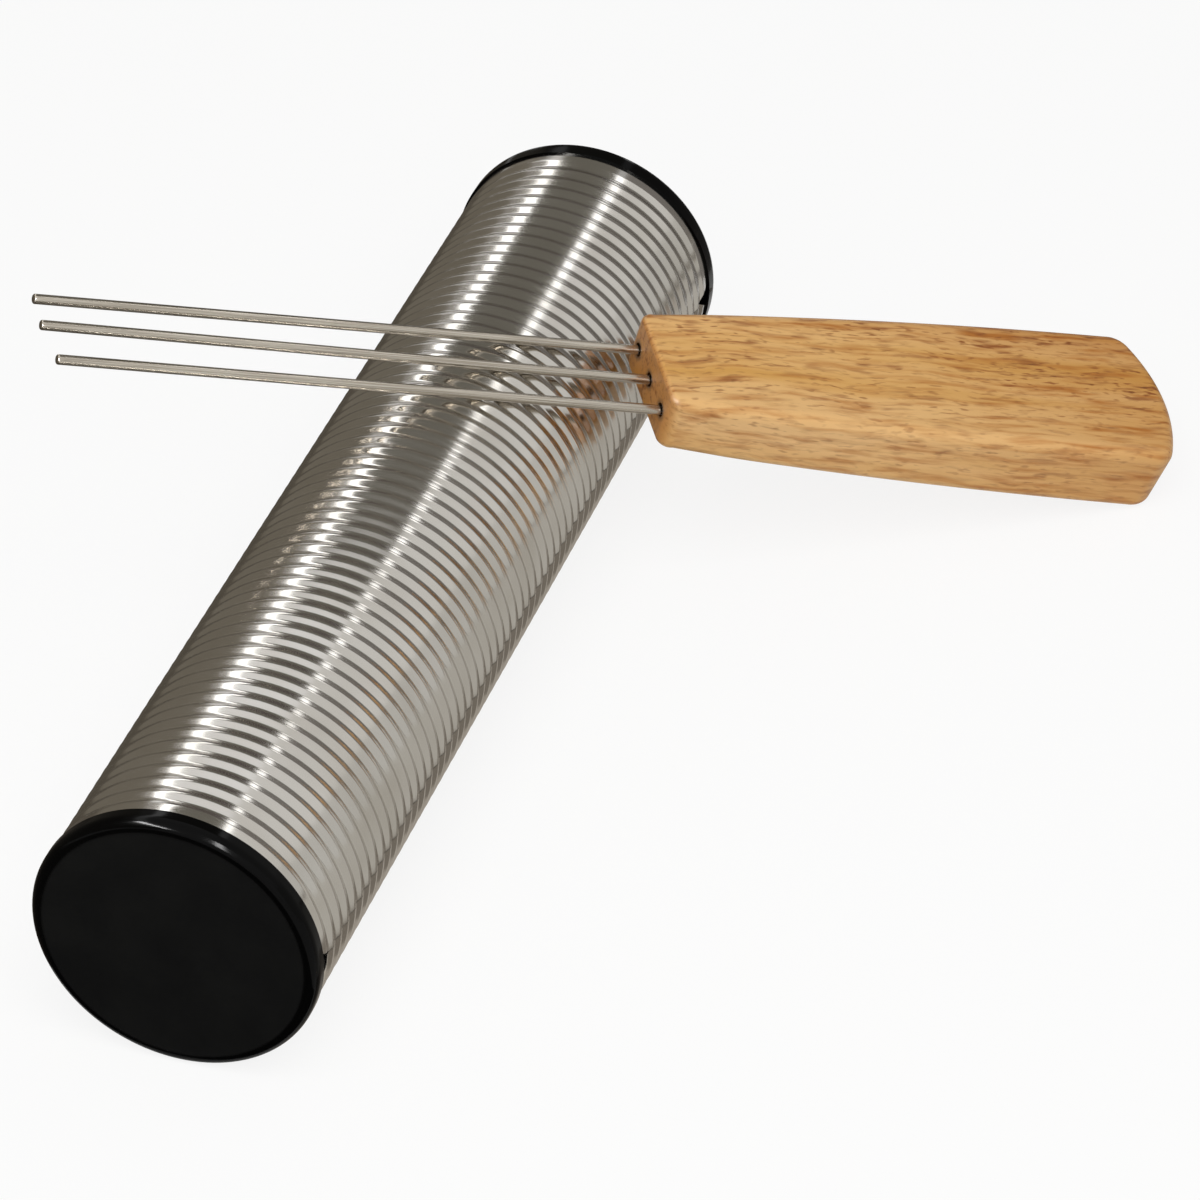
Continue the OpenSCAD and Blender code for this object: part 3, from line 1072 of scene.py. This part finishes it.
@dataclass
class Studio:
    """A white table in a studio with a dark ceiling between two strip lights, and the photograph's camera."""

    ceiling: float = 330.0
    back: float = 750.0
    left: float = -500.0
    right: float = 640.0
    over_table: float = 1.0
    paper: str = "ececea"
    paper_reach: float = 6000.0
    paper_glow: float = 0.86
    surround: float = 0.37
    lamp_at: tuple[float, float, float] = (0.35, -0.85, 1.4)
    lamp_size: float = 1.4
    lamp_watts: float = 22.0
    lens: float = 181.93
    sensor: float = 36.0
    sight: Span = (0.05, 50.0)
    camera_at: tuple[float, float, float] = (0.36964, -0.98165, 0.79546)
    looks_along: tuple[float, float, float] = (-0.25223, 0.76477, -0.59288)

    def cards(self) -> list[Card]:
        """Lists the cards: dull walls and ceiling, two bright strips, and the dull far parts of the table.

        Returns:
            The cards.
        """
        white, pale, grey, brown, dark = "ffffff", "e9e8e5", "827e7a", "7b756a", "75726a"
        overhead = (Side.CEILING, self.ceiling)
        behind = (Side.BACK, self.back)
        table = (Side.CEILING, self.over_table)
        return [
            Card("dark_ceiling", dark, 1.0, *overhead, (
                (-165, 68), (-88, 58), (78, 45), (76, 110), (74, 190), (67, 300), (58, 450), (40, 750),
                (-310, 750), (-238, 580), (-200, 420), (-164, 250), (-176, 70))),
            Card("left_strip", white, 3.2, *overhead, (
                (-236, -300), (-178, -300), (-176, 70), (-164, 250), (-200, 420), (-290, 420), (-220, 270))),
            Card("left_glow", "a09c96", 1.0, *overhead, (
                (-310, -300), (-236, -300), (-220, 270), (-290, 420), (-396, 420), (-300, 230))),
            Card("left_strip_far", white, 1.0, *overhead, (
                (-396, 420), (-200, 420), (-238, 580), (-310, 750), (-500, 750), (-440, 560))),
            Card("left_strip_end", white, 150.0, *overhead, (
                (-250, -800), (-212, -800), (-216, -300), (-250, -300))),
            Card("right_strip", white, 2.4, *overhead, (
                (76, 110), (108, 110), (106, 190), (102, 300), (67, 300), (74, 190))),
            Card("right_strip_far", white, 0.6, *overhead, (
                (67, 300), (102, 300), (96, 450), (80, 750), (40, 750), (58, 450))),
            Card("right_strip_end", white, 60.0, *overhead, (
                (60, -800), (115, -800), (115, -300), (80, -300))),
            Card("pale_ceiling", pale, 1.0, *overhead, (
                (115, -300), (640, -300), (640, 750), (616, 730), (202, 356), (102, 300), (106, 190),
                (108, 110), (76, 110), (78, 45))),
            Card("grey_ceiling", grey, 1.0, *overhead, (
                (102, 300), (202, 356), (616, 730), (640, 750), (80, 750), (96, 450))),
            Card("left_strip_foot", white, 1.1, *behind, (
                (-430, 0), (-310, 0), (-305, 60), (-375, 120), (-400, 150), (-430, 150))),
            Card("back_wall_left", brown, 1.0, *behind, (
                (-500, 0), (-430, 0), (-430, 150), (-400, 150), (-440, 330), (-500, 330))),
            Card("back_wall_dark", "59524f", 1.0, *behind, (
                (-310, 0), (-40, 0), (-32, 80), (-18, 200), (40, 330), (-440, 330), (-400, 150), (-375, 120),
                (-305, 60))),
            Card("right_strip_foot", white, 2.4, *behind, (
                (-25, 140), (18, 140), (34, 200), (80, 330), (40, 330), (-18, 200))),
            Card("right_strip_toe", white, 0.6, *behind, (
                (-32, 80), (2, 80), (18, 140), (-25, 140))),
            Card("back_wall_grey", grey, 1.0, *behind, (
                (-40, 0), (700, 0), (640, 330), (80, 330), (34, 200), (2, 80), (-32, 80))),
            Card("left_wall", brown, 1.0, Side.WALL, self.left, (
                (-1500, 0), (750, 0), (750, 330), (550, 550), (-1500, 550))),
            Card("right_wall", "d6d5d1", 1.0, Side.WALL, self.right, (
                (-600, 0), (700, 0), (700, 330), (-600, 330))),
            Card("table_left", "5c564d", 1.0, *table, (
                (-40, -300), (-40, 140), (-125, 400), (-225, 430), (-320, 500), (-400, 750), (-500, 750),
                (-500, -300))),
            Card("table_left_strip", white, 1.1, *table, (
                (-320, 500), (-225, 430), (-305, 750), (-400, 750))),
            Card("table_behind", dark, 1.0, *table, (
                (-225, 430), (-125, 400), (-40, 400), (-40, 750), (-305, 750))),
            Card("table_right", grey, 1.0, *table, (
                (60, 170), (130, 170), (300, 550), (700, 750), (0, 750), (45, 300))),
            Card("table_near_right", "c9c6bf", 1.0, *table, (
                (60, -128), (640, -128), (640, 200), (260, 200), (260, 460), (130, 170), (60, 170))),
            Card("table_far_right", "8a857d", 1.0, *table, (
                (260, 200), (640, 200), (640, 720), (300, 550), (260, 460))),
            Card("table_shade", "b3aca2", 1.0, *table, (
                (20, -128), (40, -128), (40, 128), (20, 128))),
            Card("table_shade_edge", "857e75", 1.0, *table, (
                (40, -128), (60, -128), (60, 170), (40, 170))),
            Card("table_front", "2c2b2a", 1.0, *table, (
                (-140, -450), (50, -450), (50, -132), (-140, -132))),
        ]

    def build_floor(self) -> None:
        """Builds the table."""
        # To the eye: matt white paper, lit evenly, with the object's soft shadow on it
        material, add = new_material("white_table_paper")
        seen = add("LightPath").outputs["Is Camera Ray"]
        paper = add("BsdfDiffuse", {"Color": linear(self.paper)})
        white = add("Emission", {"Color": linear("ffffff"), "Strength": 1.0})
        share = add("Math", {0: seen, 1: self.paper_glow}, operation="MULTIPLY")
        mixed = add("MixShader", {0: share, 1: paper, 2: white})
        add("OutputMaterial", {"Surface": mixed})
        reach = self.paper_reach
        corners = np.array([(-reach, -reach, 0), (reach, -reach, 0), (reach, reach, 0), (-reach, reach, 0)])
        floor = mesh_piece("table", corners, [(0, 1, 2, 3)])
        floor.data.materials.append(material)

    def light(self) -> None:
        """Sets an even white surround and one large soft lamp above."""
        world = bpy.data.worlds.new("studio")
        bpy.context.scene.world = world
        world.use_nodes = True
        world.node_tree.nodes.clear()
        add = partial(add_node, world.node_tree)
        path = add("LightPath").outputs
        seen, mirrored, cleared = (path[f"Is {kind} Ray"] for kind in ("Camera", "Glossy", "Transmission"))
        direct = add("Math", {0: seen, 1: mirrored}, operation="MAXIMUM")
        clear = add("Math", {0: direct, 1: cleared}, operation="MAXIMUM")
        strength = add("MapRange", {"Value": clear, "To Min": self.surround, "To Max": 1.0})
        sky = add("Background", {"Color": linear("ffffff"), "Strength": strength})
        add("OutputWorld", {"Surface": sky})
        lamp = bpy.data.lights.new("soft_overhead", "AREA")
        lamp.shape, lamp.size, lamp.size_y = "RECTANGLE", self.lamp_size, self.lamp_size
        lamp.energy = self.lamp_watts
        holder = bpy.data.objects.new("soft_overhead", lamp)
        holder.location = self.lamp_at
        holder.rotation_euler = (-holder.location).to_track_quat("-Z", "Y").to_euler()
        holder.visible_glossy = False
        holder.visible_camera = False
        bpy.context.scene.collection.objects.link(holder)

    def build_camera(self) -> None:
        """Builds the camera, at the photograph's place and angle."""
        data = bpy.data.cameras.new("camera")
        data.lens, data.sensor_width = self.lens, self.sensor
        data.clip_start, data.clip_end = self.sight
        camera = bpy.data.objects.new("camera", data)
        camera.location = self.camera_at
        camera.rotation_euler = Vector(self.looks_along).to_track_quat("-Z", "Y").to_euler()
        bpy.context.scene.collection.objects.link(camera)
        bpy.context.scene.camera = camera

    def build(self) -> None:
        """Builds the table, the cards, the light and the camera."""
        self.build_camera()
        self.build_floor()
        for card in self.cards():
            card.build()
        self.light()
        bpy.context.scene.view_settings.view_transform = "Standard"


def main() -> None:
    """Builds every piece in order, then the studio round them."""
    logging.basicConfig(level=logging.INFO, format="%(message)s")
    RibbedTube().build(RolledSteelFinish().build())
    plastic = MouldedCapFinish().build()
    EndCap("near_cap", "front_cap", -1, 4.4).build(plastic)
    EndCap("far_cap", "rear_cap", 1, 5.2).build(plastic)
    ShotLanes().dress(TumbledShotFinish().build())
    pose = ScraperPose()
    wire = DrawnWireFinish().build(pose.frame())
    tines = [
        Tine("far_tine", "tine_far", 1, 140.5, 0.3),
        Tine("middle_tine", "tine_middle", 0, 140.5, -0.3),
        Tine("near_tine", "tine_near", -1, 139.0, 0.0),
    ]
    for tine in tines:
        tine.build(pose, wire)
    ScraperHandle().build(tines, pose, LacqueredWoodFinish().build(pose.frame()))
    Studio().build()


if __name__ == "__main__":
    main()
